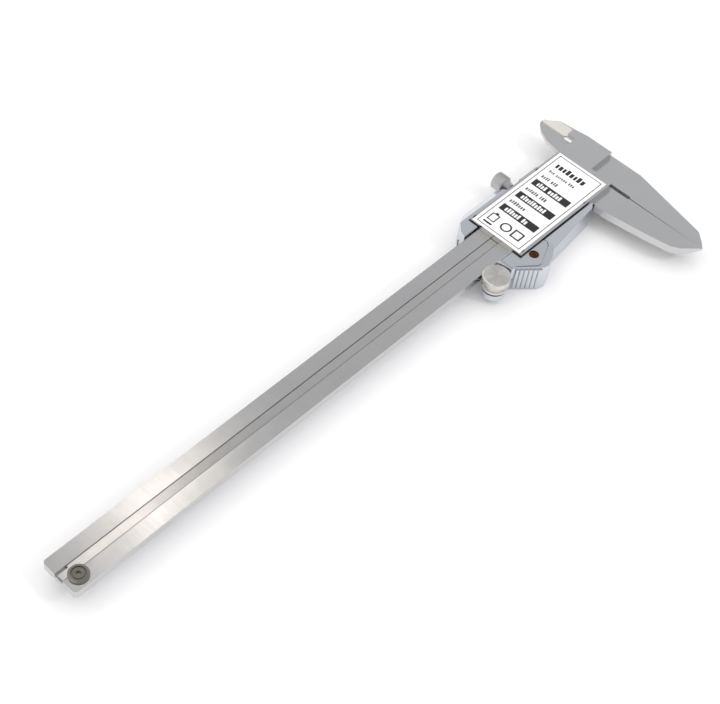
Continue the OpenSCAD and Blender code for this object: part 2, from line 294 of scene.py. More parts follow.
def block(bm: bmesh.types.BMesh, low: Iterable[float], high: Iterable[float]) -> None:
    """Adds a box to a mesh.

    Args:
        bm: the mesh.
        low: its lowest corner in millimetres.
        high: its highest corner in millimetres.
    """
    low, high = Vector(low) * MM, Vector(high) * MM
    size = Matrix.Diagonal((*(high - low), 1.0))
    bmesh.ops.create_cube(bm, size=1.0, matrix=Matrix.Translation((low + high) / 2) @ size)


def piece(bm: bmesh.types.BMesh, name: str, body: str, finish: Finish,
          replaces: Iterable[str] = (), crisp: float = 50.0) -> bpy.types.Object:
    """Makes an object of a finished mesh and lets it ride.

    Args:
        bm: the mesh, in metres, which is freed.
        name: the piece's name.
        body: the body that it moves with.
        finish: its material.
        replaces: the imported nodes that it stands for.
        crisp: edges sharper than this angle stay sharp, in degrees.

    Returns:
        The new object.
    """
    for face in bm.faces:
        face.smooth = True
    for edge in bm.edges:
        edge.smooth = len(edge.link_faces) == 2 and edge.calc_face_angle(0) < math.radians(crisp)
    mesh = bpy.data.meshes.new(name)
    bm.to_mesh(mesh)
    bm.free()
    mesh.materials.append(finish.material())
    made = bpy.data.objects.new(name, mesh)
    bpy.context.scene.collection.objects.link(made)
    even = made.modifiers.new("even_normals", "WEIGHTED_NORMAL")
    even.keep_sharp = True
    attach(made, body)
    if replaces:
        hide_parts(*replaces)
    return made


def turned(profile: Iterable[tuple[float, float]], x: float, y: float, steps: int = 64) -> bmesh.types.BMesh:
    """A solid of revolution about an upright axis.

    Args:
        profile: radius and height of each corner in millimetres, from axis to axis.
        x, y: the axis, in millimetres.
        steps: how many steps the turn has.

    Returns:
        The closed mesh.
    """
    bm = bmesh.new()
    verts = [bm.verts.new(Vector((x + r, y, z)) * MM) for r, z in profile]
    edges = [bm.edges.new(pair) for pair in zip(verts, verts[1:])]
    bmesh.ops.spin(bm, geom=verts + edges, cent=Vector((x, y, 0)) * MM, axis=(0, 0, 1), angle=math.tau,
                   steps=steps, use_merge=True)
    bmesh.ops.remove_doubles(bm, verts=bm.verts, dist=0.001 * MM)
    bmesh.ops.recalc_face_normals(bm, faces=bm.faces)
    return bm


def bevelled(node: str, name: str, body: str, finish: Finish, width: float,
             segments: int = 2) -> bpy.types.Object:
    """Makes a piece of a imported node's shape, with its sharp edges rounded.

    Args:
        node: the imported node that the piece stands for.
        name: the piece's name.
        body: the body that it moves with.
        finish: its material.
        width: the rounds' width in millimetres.
        segments: how many strips a round gets.

    Returns:
        The new object.
    """
    bm = copy_of(node)
    soften(bm, width, segments)
    return piece(bm, name, body, finish, (node,))


# ---------- finishes ----------

# Stainless steel, surface ground across the beam. Satin grey with hair-fine traces, which are really under
# 0.05 mm wide and are drawn at 0.45 mm so that they show. The slow wave streaks the bright reflection.
GROUND_STEEL = Finish("ground_stainless", "CBCBCB", 0.18, 1.0, (0.45, 12.0, 12.0), shade=0.06,
                      rough_spread=0.04, relief_um=3.0, cloud=16, wave_um=45.0)
# Drawn stainless bar, linished the same way. A slight slope in its relief makes it catch the light nearer
# the end than the beam does.
ROD_STEEL = Finish("drawn_stainless", "C7C6C5", 0.18, 1.0, (0.45, 12.0, 12.0), shade=0.06,
                   rough_spread=0.04, relief_um=3.0, cloud=14, wave_um=35.0, lean=-0.02)
# Satin chrome on cast zinc. Cool, milky and soft, with a faint orange peel of about a third of a millimetre.
SATIN_CHROME = Finish("satin_chrome", "D2D6DC", 0.22, 1.0, (0.35, 0.35, 0.35), shade=0.03, rough_spread=0.05,
                      relief_um=1.5, cloud=9, wave_um=8.0)
# Matt vinyl film, meant as an even white that doesn't mirror anything. Known fault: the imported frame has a
# plain material of the same name, and material() returns that one, so these settings have no effect.
LABEL_FILM = Finish("label_film", "F4F4F2", 0.45, 0.0, (0.3, 0.3, 0.3), shade=0.012, relief_um=1.0,
                    cloud=12)
# Screen-printed ink. Near black and dull, with a slightly uneven lay-down.
LABEL_INK = Finish("screen_print_ink", "1B1B1D", 0.5, 0.0, (0.3, 0.3, 0.3), shade=0.1, relief_um=1.0)
# The same ink in thin strokes, where it covers less and looks dark grey.
LABEL_LINE = Finish("thin_print_ink", "46464A", 0.5, 0.0, (0.3, 0.3, 0.3), shade=0.1, relief_um=1.0)
# Turned steel under black oxide, worn by handling. Dark grey-brown with rings about the screw's axis.
# Its tone also carries a faint painted reflection in wedge shapes.
GUNMETAL = Finish("worn_black_oxide_steel", "86837C", 0.3, 1.0, (0.25, 0.25, 60.0), Lay.RINGS,
                  centre=(5.3, -3.4, 0), shade=0.12, rough_spread=0.08, relief_um=1.5, cloud=6)
# Fresh black oxide on small screws. Nearly black with a dull metal sheen.
BLACK_OXIDE = Finish("black_oxide_steel", "3A3A3C", 0.4, 1.0, (0.3, 0.3, 0.3), shade=0.15, relief_um=2.0,
                     cloud=5)
# Face-turned and brushed steel. Light and faintly warm, in wedges that fan out from the middle.
# The wedges that fan out from the middle are a painted reflection of the light on the turned face.
TURNED_STEEL = Finish("face_turned_steel", "DFD8D4", 0.2, 1.0, (0.22, 0.22, 60.0), Lay.RINGS, 0.85,
                      (199.3, -13.1, 0), shade=0.45, rough_spread=0.06, relief_um=0.8, cloud=6)
# Satin nickel on turned brass. A mid grey, softer than the ground steel.
KNOB_STEEL = Finish("satin_nickel", "B9B9BC", 0.3, 1.0, (0.3, 2.0, 0.3), shade=0.06, relief_um=2.0, cloud=5)
# Centreless-ground pin steel. Plain grey with a soft line of light.
PIN_STEEL = Finish("ground_pin_steel", "A8A8A8", 0.3, 1.0, (0.3, 0.3, 2.0), shade=0.06)
# Cold-rolled spring steel. Grey with streaks along the strip.
SPRING_STEEL = Finish("rolled_spring_steel", "A6A8AA", 0.32, 1.0, (3.0, 0.3, 0.3), shade=0.06)
# Rolled phosphor bronze. Dull gold with streaks along the strip.
BRONZE = Finish("rolled_phosphor_bronze", "C89C5A", 0.35, 1.0, (3.0, 0.3, 0.3), shade=0.08)
# Brass in a deep brown tone, with a painted glint on some sides of the turned head.
# The glint is painted highlight, carried by the wedge-shaped part of the ring pattern.
BRASS_SCREW = Finish("brass_with_painted_glint", "6B4320", 0.3, 1.0, (0.2, 0.2, 60.0), Lay.RINGS,
                     centre=(218.8, -15.5, 0), shade=0.95, rough_spread=0.1, relief_um=2.0, cloud=3)
# Moulded nitrile rubber. Matt black.
RUBBER = Finish("nitrile_rubber", "1A1A1A", 0.75, 0.0, (0.3, 0.3, 0.3), shade=0.1, relief_um=6.0)
# Moulded silicone rubber. Matt mid grey.
PAD_RUBBER = Finish("silicone_rubber", "7C7C7A", 0.6, 0.0, (0.4, 0.4, 0.4), shade=0.05, relief_um=4.0)
# Textured polyester overlay. Charcoal with a soft sheen.
FACE_FILM = Finish("polyester_overlay", "30343A", 0.28, 0.0, (0.2, 0.2, 0.2), shade=0.08, relief_um=1.5,
                   cloud=10)
# Moulded polycarbonate. Clear and glossy, with a slight grey cast.
WINDOW = Finish("clear_polycarbonate", "DDE4E2", 0.06, 0.0, (2.0, 2.0, 2.0), shade=0.01, rough_spread=0.02,
                relief_um=0.3, alpha=0.22)
# Liquid crystal glass over a reflector. Flat grey-green.
CRYSTAL = Finish("liquid_crystal_cell", "A9B3A4", 0.3, 0.0, (0.3, 0.3, 0.3), shade=0.03)
# A switched liquid crystal segment. Near black and crisp.
SEGMENT = Finish("liquid_crystal_segment", "20242A", 0.3, 0.0, (0.3, 0.3, 0.3), shade=0.05)
# Moulded white ABS. Off-white and half matt.
HOLDER = Finish("white_abs", "D8D8D2", 0.5, 0.0, (0.4, 0.4, 0.4), shade=0.04, relief_um=3.0)
# Green solder mask over copper. Uneven dark green.
BOARD = Finish("solder_mask", "17402A", 0.35, 0.0, (0.6, 0.6, 0.6), shade=0.15, relief_um=5.0)
# Nickel-plated steel can. Bright and faintly warm.
CELL_STEEL = Finish("nickel_plated_steel", "C8C8C6", 0.22, 1.0, (0.3, 0.3, 0.3), shade=0.04)
# Gold-flashed spring bronze. Yellow with streaks along the strip.
GILT = Finish("gold_flashed_bronze", "D8B468", 0.25, 1.0, (1.5, 0.3, 0.3), shade=0.06)
# Spark-textured black ABS. Dull black that greys a little where it faces the light.
CAP_ABS = Finish("black_abs", "1E1E20", 0.42, 0.0, (0.35, 0.35, 0.35), shade=0.1, relief_um=5.0)
# Moulded red ABS. Brick red with a soft sheen.
KEY_RED = Finish("red_abs", "9A2A20", 0.38, 0.0, (0.35, 0.35, 0.35), shade=0.06, relief_um=4.0)
# Moulded grey ABS. Blue-grey with a soft sheen.
KEY_GREY = Finish("grey_abs", "6E747C", 0.38, 0.0, (0.35, 0.35, 0.35), shade=0.06, relief_um=4.0)
# Metallised polyester film, meant as pale silver with faint streaks across the beam. Known fault: as with
# label_film, the frame's plain material of the same name is what it gets.
FILM = Finish("scale_film", "C9CBCD", 0.32, 0.6, (0.4, 3.0, 0.4), shade=0.03)
# Printed ink on the film. Black and dull.
FILM_INK = Finish("scale_print_ink", "1C1D20", 0.45, 0.0, (0.3, 0.3, 0.3), shade=0.1)
# Glass-epoxy laminate. Dark green-grey with a faint weave-sized mottle.
STRIP = Finish("glass_epoxy", "2A3A2A", 0.5, 0.0, (0.6, 0.6, 0.6), shade=0.12)
# Matt painted board. A plain pale floor.
FLOOR = Finish("pale_floor", "F2F2F4", 0.9, shade=0.002, relief_um=0.0)

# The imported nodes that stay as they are, with the finish that each one gets.
CARRIED_OVER = {
    "scale_strip": STRIP, "gib_strip": BRONZE, "gib_screws": BLACK_OXIDE, "depth_rod_screw": BLACK_OXIDE,
    "lock_pad": BRONZE, "roller_pin": PIN_STEEL, "roller_washer": PIN_STEEL, "cover_gasket": RUBBER,
    "display_contacts": RUBBER, "display_holder": HOLDER, "main_board": BOARD, "sensor_board": BOARD,
    "battery_cell": CELL_STEEL, "battery_spring": GILT, "battery_contact": GILT, "battery_cap_seal": RUBBER,
    "button_pad": PAD_RUBBER, "cover_screws": BLACK_OXIDE,
}


# ---------- sub-assemblies ----------

# Where the long jaws meet along X, where their knife edges begin and their relief slot ends along Y, and how
# far the back edge of a measuring face is set back.
JAW_PLANE = 272.0
KNIFE_Y = -46.4
RELIEF_Y = -21.7
HAIR = 0.2


def open_jaw(bm: bmesh.types.BMesh, side: int) -> None:
    """Sets the back edge of a measuring face back by a hair, so that the jaws show a fine line between them.

    Args:
        bm: a long jaw's mesh.
        side: 1 for the fixed jaw, -1 for the moving one.
    """
    for v in bm.verts:
        x, y, z = v.co / MM
        if abs(x - JAW_PLANE) < 0.02 and KNIFE_Y - 1 < y < RELIEF_Y and z > 1.7:
            v.co.x += side * HAIR * MM


@dataclass
class Beam:
    """The beam with both fixed jaws, the graduation on its display side and the stop screw.

    Attributes:
        edge: the width of the broken edges.
        slot_edge: the width of the edges along the rod's slot, which is left nearly sharp.
        tick: the width of a line of the graduation.
        lines: the length of a line at a whole centimetre, at a half and elsewhere.
        ink: the thickness of the ink.
        numeral: the height of the numbers.
        number_y: how far a number's foot is from the film's edge.
        zero: where the graduation's zero is along X.
        reach: the last line's value.
    """

    edge: float = 0.18
    slot_edge: float = 0.04
    tick: float = 0.14
    lines: tuple[float, float, float] = (3.4, 2.6, 1.8)
    ink: float = 0.01
    numeral: float = 1.9
    number_y: float = 4.4
    zero: float = 204.0
    reach: int = 190

    def build(self) -> None:
        """Makes the forging, its screw and the film with its graduation."""
        bm = copy_of("beam")
        open_jaw(bm, 1)
        slot = (Vector((-1, -2.2, -1)) * MM, Vector((266, 2.2, 5)) * MM)
        soften(bm, self.slot_edge, 1, within=slot)
        soften(bm, self.edge, least=50)
        piece(bm, "beam_forging", "beam_body", GROUND_STEEL, ("beam",))
        self.screw()
        bevelled("scale_film", "graduated_film", "beam_body", FILM, 0.03, 1)
        self.graduate()

    def screw(self) -> None:
        """Turns the stop screw: a chamfered ring round a sunk disc with a small socket."""
        low, high = (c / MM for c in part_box("stop_screw"))
        x, y, rim = (low.x + high.x) / 2, (low.y + high.y) / 2, (high.x - low.x) / 2
        top, seat = high.z, high.z - 1.1
        profile = ((0, top - 0.8), (0.8, top - 0.8), (0.8, top - 0.2), (0.95, top - 0.12), (2.0, top - 0.12),
                   (2.12, top - 0.4), (2.34, top - 0.4), (2.46, top - 0.04), (2.6, top), (rim - 0.75, top),
                   (rim - 0.6, top - 0.06), (rim - 0.08, top - 0.5), (rim, top - 0.6), (rim, seat),
                   (1.25, seat), (1.25, low.z), (0, low.z))
        piece(turned(profile, x, y), "stop_screw_head", "beam_body", GUNMETAL,
              ("stop_screw",), 30)

    def graduate(self) -> None:
        """Prints the millimetre lines and their numbers on the film, to be read from the display side."""
        low, high = (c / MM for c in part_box("scale_film"))
        bm = bmesh.new()
        for mm in range(self.reach + 1):
            length = self.lines[0 if mm % 10 == 0 else 1 if mm % 5 == 0 else 2]
            x = self.zero - mm
            block(bm, (x - self.tick / 2, low.y, low.z),
                  (x + self.tick / 2, low.y + length, low.z + self.ink))
        for mm in range(0, self.reach, 10):
            self.number(bm, str(mm), Vector((self.zero - mm, low.y + self.number_y, low.z)))
        piece(bm, "graduation", "beam_body", FILM_INK)

    def number(self, bm: bmesh.types.BMesh, text: str, at: Vector) -> None:
        """Adds a number's flat shape, turned to be read from the display side.

        Args:
            bm: the mesh that gets it.
            text: the number.
            at: the middle of its foot, in millimetres.
        """
        curve = bpy.data.curves.new("number", "FONT")
        curve.body, curve.size, curve.align_x = text, self.numeral, "CENTER"
        curve.extrude = self.ink / 2
        holder = bpy.data.objects.new("number", curve)
        bpy.context.scene.collection.objects.link(holder)
        flat = bpy.data.meshes.new_from_object(holder.evaluated_get(bpy.context.evaluated_depsgraph_get()))
        turn = Matrix(((-1, 0, 0, at.x), (0, 1, 0, at.y), (0, 0, -1, at.z + self.ink / 2), (0, 0, 0, 1)))
        flat.transform(Matrix.Scale(MM, 4) @ turn)
        bm.from_mesh(flat)
        bpy.data.objects.remove(holder)
        bpy.data.meshes.remove(flat)
        bpy.data.curves.remove(curve)


@dataclass
class PrintRow:
    """One row of plain marks on the label.

    Attributes:
        x: the row's middle along the beam.
        start: where the first mark starts across it.
        height: the height of a tall mark.
        width: the width of a wide mark.
        gap: the space between two marks.
        words: how many marks each word has.
    """

    x: float
    start: float
    height: float
    width: float
    gap: float
    words: tuple[int, ...]


@dataclass
class Label:
    """The white film on the slider's back, with a frame, three dark bars and rows of plain marks.

    Attributes:
        inset: how far the frame is from the film's edge.
        line: the width of the frame's line.
        ink: how far the print stands off the film.
        bar: the width of a dark bar along the beam.
        bars: the bars' middles along the beam.
        bar_y: where a bar starts and ends across the beam.
        bold: the rows of large dark marks.
        fine: the rows of small dark marks.
        light: the rows of light marks in the bars.
        signs_at: two corners of each straight stroke of the signs: over a bar, a cell's outline with its
            cap, and an open square.
        ring: the place along and across the beam, the radius and the stroke of the round sign.
        seed: what the uneven heights and widths are drawn from.
    """

    inset: float = 1.25
    line: float = 0.36
    ink: float = 0.03
    bar: float = 3.9
    bars: tuple[float, ...] = (248.0, 238.0, 228.1)
    bar_y: tuple[float, float] = (-9.0, 8.8)
    bold: tuple[PrintRow, ...] = (PrintRow(262.0, 8.0, 3.1, 1.45, 0.5, (8,)),)
    fine: tuple[PrintRow, ...] = (
        PrintRow(257.3, 8.0, 1.5, 0.62, 0.36, (3, 6, 3)),
        PrintRow(252.9, 8.3, 1.9, 0.74, 0.38, (4, 3)),
        PrintRow(242.9, 8.3, 1.9, 0.74, 0.38, (6, 3)),
        PrintRow(233.0, 8.3, 1.9, 0.74, 0.38, (7,)))
    light: tuple[PrintRow, ...] = (
        PrintRow(248.0, 6.6, 2.4, 0.86, 0.4, (4, 5)),
        PrintRow(238.0, 6.6, 2.4, 0.86, 0.4, (10,)),
        PrintRow(228.1, 6.6, 2.4, 0.86, 0.4, (6, 2)))
    signs_at: tuple[tuple[float, float, float, float], ...] = (
        (216.6, 4.7, 217.5, 8.7), (218.6, 4.9, 223.0, 5.4), (218.6, 8.0, 223.0, 8.5),
        (218.6, 5.4, 219.1, 8.0), (222.5, 5.4, 223.0, 8.0), (223.0, 6.0, 223.8, 7.4),
        (218.0, -7.9, 222.6, -7.2), (218.0, -4.0, 222.6, -3.3), (218.0, -7.2, 218.7, -4.0),
        (221.9, -7.2, 222.6, -4.0))
    ring: tuple[float, float, float, float] = (220.3, 0.0, 2.4, 0.7)
    seed: int = 11

    def build(self) -> None:
        """Makes the film, its ink and the light marks in the bars."""
        low, high = (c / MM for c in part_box("label"))
        film = bmesh.new()
        block(film, low, (high.x, high.y, high.z - self.ink))
        soften(film, 0.06, 2)
        piece(film, "label_film", "slider", LABEL_FILM, ("label",))
        draws = random.Random(self.seed)
        foot, top = high.z - self.ink, high.z
        dark, grey, light = bmesh.new(), bmesh.new(), bmesh.new()
        for x in self.bars:
            block(dark, (x - self.bar / 2, self.bar_y[0], foot),
                  (x + self.bar / 2, self.bar_y[1], top - 0.01))
        self.write(dark, self.bold, foot, top, draws)
        self.write(grey, self.fine, foot, top, draws)
        self.write(light, self.light, foot, top, draws)
        self.signs(dark, foot, top)
        x0, y0 = low.x + self.inset, low.y + self.inset
        x1, y1 = high.x - self.inset, high.y - self.inset
        for a, b in (((x0, y0), (x1, y0 + self.line)), ((x0, y1 - self.line), (x1, y1)),
                     ((x0, y0), (x0 + self.line, y1)), ((x1 - self.line, y0), (x1, y1))):
            block(grey, (*a, foot), (*b, top))
        piece(dark, "label_print", "slider", LABEL_INK)
        piece(grey, "label_fine_print", "slider", LABEL_LINE)
        piece(light, "label_light_print", "slider", LABEL_FILM)

    def write(self, bm: bmesh.types.BMesh, rows: Iterable[PrintRow], foot: float, top: float,
              draws: random.Random) -> None:
        """Adds rows of plain upright marks of uneven height that stand for writing.

        Args:
            bm: the mesh that gets them.
            rows: the rows.
            foot, top: the ink's underside and its top, in millimetres.
            draws: where the uneven heights and widths come from.
        """
        for row in rows:
            y = row.start
            base = row.x - row.height / 2
            for word in row.words:
                for _ in range(word):
                    tall = row.height * draws.choice((1.0, 0.8, 0.8))
                    wide = row.width * draws.choice((1.0, 1.0, 0.75))
                    block(bm, (base, y - wide, foot), (base + tall, y, top))
                    y -= wide + row.gap
                y -= row.height * 0.45

    def signs(self, bm: bmesh.types.BMesh, foot: float, top: float) -> None:
        """Adds plain signs by the free end: a cell's outline over a bar, a ring and an open square.

        Args:
            bm: the mesh that gets them.
            foot, top: the ink's underside and its top, in millimetres.
        """
        for x0, y0, x1, y1 in self.signs_at:
            block(bm, (x0, y0, foot), (x1, y1, top))
        x, y, radius, stroke = self.ring
        made = bmesh.ops.create_circle(bm, cap_ends=True, segments=48, radius=radius * MM,
                                       matrix=Matrix.Translation(Vector((x, y, foot)) * MM))
        disc = made["verts"][0].link_faces[0]
        ring = bmesh.ops.inset_individual(bm, faces=[disc], thickness=stroke * MM)["faces"]
        bmesh.ops.delete(bm, geom=[disc], context="FACES_ONLY")
        raised = bmesh.ops.extrude_face_region(bm, geom=ring, use_keep_orig=True)["geom"]
        bmesh.ops.translate(bm, verts=[g for g in raised if isinstance(g, bmesh.types.BMVert)],
                            vec=(0, 0, (top - foot) * MM))
        bmesh.ops.recalc_face_normals(bm, faces=bm.faces)


@dataclass
class Slider:
    """The slider frame with its jaws, and the depth rod.

    Attributes:
        edge: the width of the frame's broken edges.
        rod_edge: the width of the rod's.
    """

    edge: float = 0.16
    rod_edge: float = 0.05

    def build(self) -> None:
        """Makes the frame and the rod."""
        bm = copy_of("slider_frame")
        open_jaw(bm, -1)
        soften(bm, self.edge)
        piece(bm, "slider_forging", "slider", GROUND_STEEL, ("slider_frame",))
        bevelled("depth_rod", "depth_rod_bar", "slider", ROD_STEEL,
                 self.rod_edge)


@dataclass
class ThumbWheel:
    """The thumb roller and the sprung arm that carries it.

    Attributes:
        edge: the width of the roller's rounds.
        arm_edge: the width of the arm's.
    """

    edge: float = 0.14
    arm_edge: float = 0.06

    def build(self) -> None:
        """Makes the roller and its arm."""
        bevelled("thumb_roller", "roller_wheel", "roller", TURNED_STEEL, self.edge, 3)
        bevelled("roller_arm", "roller_spring", "slider", SPRING_STEEL, self.arm_edge)


@dataclass
class LockScrew:
    """The knurled screw that locks the slider.

    Attributes:
        teeth: how many ridges the knurl has.
        depth: how deep they are cut.
        shank: the radius of the shank.
        corners: the neck's corners, as a radius and a place along Y.
        knurl: where the knurl starts and ends along Y.
    """

    teeth: int = 40
    depth: float = 0.16
    shank: float = 1.5
    corners: tuple[tuple[float, float], ...] = ((2.0, 14.4), (2.7, 16.6))
    knurl: tuple[float, float] = (17.4, 21.6)

    def build(self) -> None:
        """Makes the knob with its knurl, its neck and its shank."""
        low, high = (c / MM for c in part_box("lock_screw"))
        centre = (low + high) / 2
        radius = (high.x - low.x) / 2
        start, end = self.knurl
        profile = [(self.shank, low.y), (self.shank, self.corners[0][1]), *self.corners,
                   (radius - 0.55, 16.8), (radius - 0.1, 17.2), (radius, start), (radius, end),
                   (radius - 0.15, 21.8), (radius - 0.75, high.y), (0.0, high.y)]
        bm = bmesh.new()
        verts = [bm.verts.new(Vector((centre.x, low.y, centre.z)) * MM)]
        verts += [bm.verts.new(Vector((centre.x + r, y, centre.z)) * MM) for r, y in profile]
        edges = [bm.edges.new(pair) for pair in zip(verts, verts[1:])]
        bmesh.ops.spin(bm, geom=verts + edges, cent=centre * MM, axis=(0, 1, 0), angle=math.tau,
                       steps=self.teeth * 4, use_merge=True)
        bmesh.ops.remove_doubles(bm, verts=bm.verts, dist=0.001 * MM)
        for v in bm.verts:
            away = Vector((v.co.x - centre.x * MM, v.co.z - centre.z * MM))
            if away.length > (radius - 0.12) * MM and v.co.y / MM < end + 0.1:
                turn = math.atan2(away.y, away.x) * self.teeth
                cut = self.depth * MM * (0.5 - 0.5 * math.cos(turn))
                away *= 1 - cut / away.length
                v.co.x, v.co.z = centre.x * MM + away.x, centre.z * MM + away.y
        bmesh.ops.recalc_face_normals(bm, faces=bm.faces)
        piece(bm, "lock_knob_knurled", "lock_knob", KNOB_STEEL, ("lock_screw",), crisp=40)


@dataclass
class Housing:
    """The chromed housing with its thumb rest, and what shows on the display side.

    Attributes:
        rim: the width of the round along the back rim.
        edge: the width of the other rounds.
        outline: the lowest and highest X, then the lowest and highest Y, between which the back rim is
            an inner edge.
        seam: how much smaller the thumb rest plate is than its seat.
        rest_middle: the middle of that plate.
        rest_hole: the middle of its hole.
        hole_reach: how far from there the plate keeps its size.
        digit_at: the left side of the first digit on the display, and the digits' foot.
        digit_size: a digit's width and height, and the width and the gap of its segments.
        digit_pitch: from one digit to the next.
        point: the width of the decimal point's place.
        segment: how deep a segment is sunk in the cell and how far it stands out.
    """

    rim: float = 0.8
    edge: float = 0.2
    outline: tuple[float, float, float, float] = (205.4, 256.9, -14.3, 13.5)
    seam: float = 0.2
    rest_middle: tuple[float, float] = (218.0, -14.6)
    rest_hole: tuple[float, float] = (218.8, -15.5)
    hole_reach: float = 2.2
    digit_at: tuple[float, float] = (250.6, 0.4)
    digit_size: tuple[float, float, float, float] = (4.0, 6.6, 0.8, 0.12)
    digit_pitch: float = 5.6
    point: float = 1.2
    segment: tuple[float, float] = (0.03, 0.01)

    def build(self) -> None:
        """Makes the shell, the rest, the face, the display, the cap and the buttons."""
        self.shell()
        self.rest()
        bevelled("thumb_rest_screw", "thumb_rest_pin", "slider", BRASS_SCREW, 0.08)
        bevelled("face_panel", "face_film", "slider", FACE_FILM, 0.03, 1)
        bevelled("battery_cap", "battery_cover", "cap", CAP_ABS, 0.12)
        for node, body, finish, slot in (("button_power", "power_key", KEY_RED, "button_plastic"),
                                         ("button_zero", "zero_key", KEY_GREY, "button_grey"),
                                         ("button_unit", "unit_key", KEY_GREY, "button_grey")):
            bevelled(node, node + "_cap", body, finish, 0.2, 3)
        self.display()

    def shell(self) -> None:
        """Makes the housing, with a wide round along its back rim and small ones elsewhere."""
        bm = copy_of("front_cover")
        top = max(v.co.z for v in bm.verts)
        outer = [e for e in bm.edges if len(e.link_faces) == 2 and e.calc_face_angle(0) > math.radians(30)
                 and all(v.co.z > top - 0.01 * MM and self.on_rim(v.co / MM) for v in e.verts)]
        bmesh.ops.bevel(bm, geom=outer, offset=self.rim * MM, offset_type="OFFSET", segments=5, profile=0.5,
                        affect="EDGES", material=-1, clamp_overlap=True)
        soften(bm, self.edge, 3, 32)
        piece(bm, "housing_shell", "slider", SATIN_CHROME, ("front_cover",))

    def on_rim(self, place: Vector) -> bool:
        """Tells whether a place in millimetres lies on the housing's outer outline."""
        left, right, near, far = self.outline
        return place.y < near or place.y > far or place.x < left or place.x > right

    def rest(self) -> None:
        """Makes the thumb rest plate, a hair smaller than its seat so that the seam shows."""
        bm = copy_of("thumb_rest")
        middle, centre = Vector(self.rest_middle) * MM, Vector(self.rest_hole) * MM
        for v in bm.verts:
            away = v.co.xy - middle
            if (v.co.xy - centre).length > self.hole_reach * MM:
                v.co.x -= math.copysign(min(self.seam * MM, abs(away.x) * 0.1), away.x)
                v.co.y -= math.copysign(min(self.seam * MM, abs(away.y) * 0.1), away.y)
        soften(bm, 0.07)
        piece(bm, "thumb_rest_plate", "slider", SATIN_CHROME, ("thumb_rest",))

    def display(self) -> None:
        """Makes the window, and the cell with the digits of a closed caliper."""
        pane = copy_of("display_window")
        front = min(v.co.z for v in pane.verts)
        for v in pane.verts:
            if v.co.z > front + 0.5 * MM:
                v.co.z -= 0.1 * MM
        soften(pane, 0.05, 2)
        piece(pane, "display_pane", "slider", WINDOW, ("display_window",))
        cell = copy_of("display_module")
        face = min(v.co.z for v in cell.verts) / MM
        piece(cell, "display_cell", "slider", CRYSTAL, ("display_module",))
        digits = bmesh.new()
        x, y = self.digit_at
        for place in range(3):
            self.digit(digits, x - place * self.digit_pitch - (self.point if place else 0), y, face)
        bar = self.digit_size[2]
        right = x - self.digit_pitch + 0.2
        block(digits, (right, y, face - self.segment[0]), (right + bar, y + bar, face + self.segment[1]))
        piece(digits, "display_digits", "slider", SEGMENT)

    def digit(self, bm: bmesh.types.BMesh, x: float, y: float, face: float) -> None:
        """Adds a seven-segment nought.

        Args:
            bm: the mesh that gets it.
            x: its left side on the display, in millimetres.
            y: its foot.
            face: the cell's front face.
        """
        wide, tall, bar, gap = self.digit_size
        sunk, proud = self.segment
        across, half = (bar + gap, wide - bar - gap), tall / 2
        for (x0, x1), (y0, y1) in (
                (across, (0, bar)), (across, (tall - bar, tall)),
                ((0, bar), (gap, half - gap)), ((0, bar), (half + gap, tall - gap)),
                ((wide - bar, wide), (gap, half - gap)), ((wide - bar, wide), (half + gap, tall - gap))):
            block(bm, (x - x1, y + y0, face - sunk), (x - x0, y + y1, face + proud))


@dataclass(frozen=True)
class Lamp:
    """A square soft light.

    Attributes:
        name: its name.
        aim: the place that it shines at, in metres.
        way: from there to the lamp.
        distance: how many times that way the lamp is off, in metres.
        size: its side in metres.
        power: in watts.
        colour: as sRGB.
        mirrored: whether metal shows it.
    """

    name: str
    aim: tuple[float, float, float]
    way: tuple[float, float, float]
    distance: float
    size: float
    power: float
    colour: str
    mirrored: bool

    def hang(self) -> None:
        """Makes the light and turns it to its aim."""
        light = bpy.data.lights.new(self.name, "AREA")
        light.size, light.energy, light.color = self.size, self.power, linear(self.colour)[:3]
        made = bpy.data.objects.new(self.name, light)
        made.location = Vector(self.aim) + Vector(self.way) * self.distance
        made.rotation_mode = "QUATERNION"
        made.rotation_quaternion = (Vector(self.aim) - made.location).to_track_quat("-Z", "Y")
        made.visible_glossy = self.mirrored
        bpy.context.scene.collection.objects.link(made)


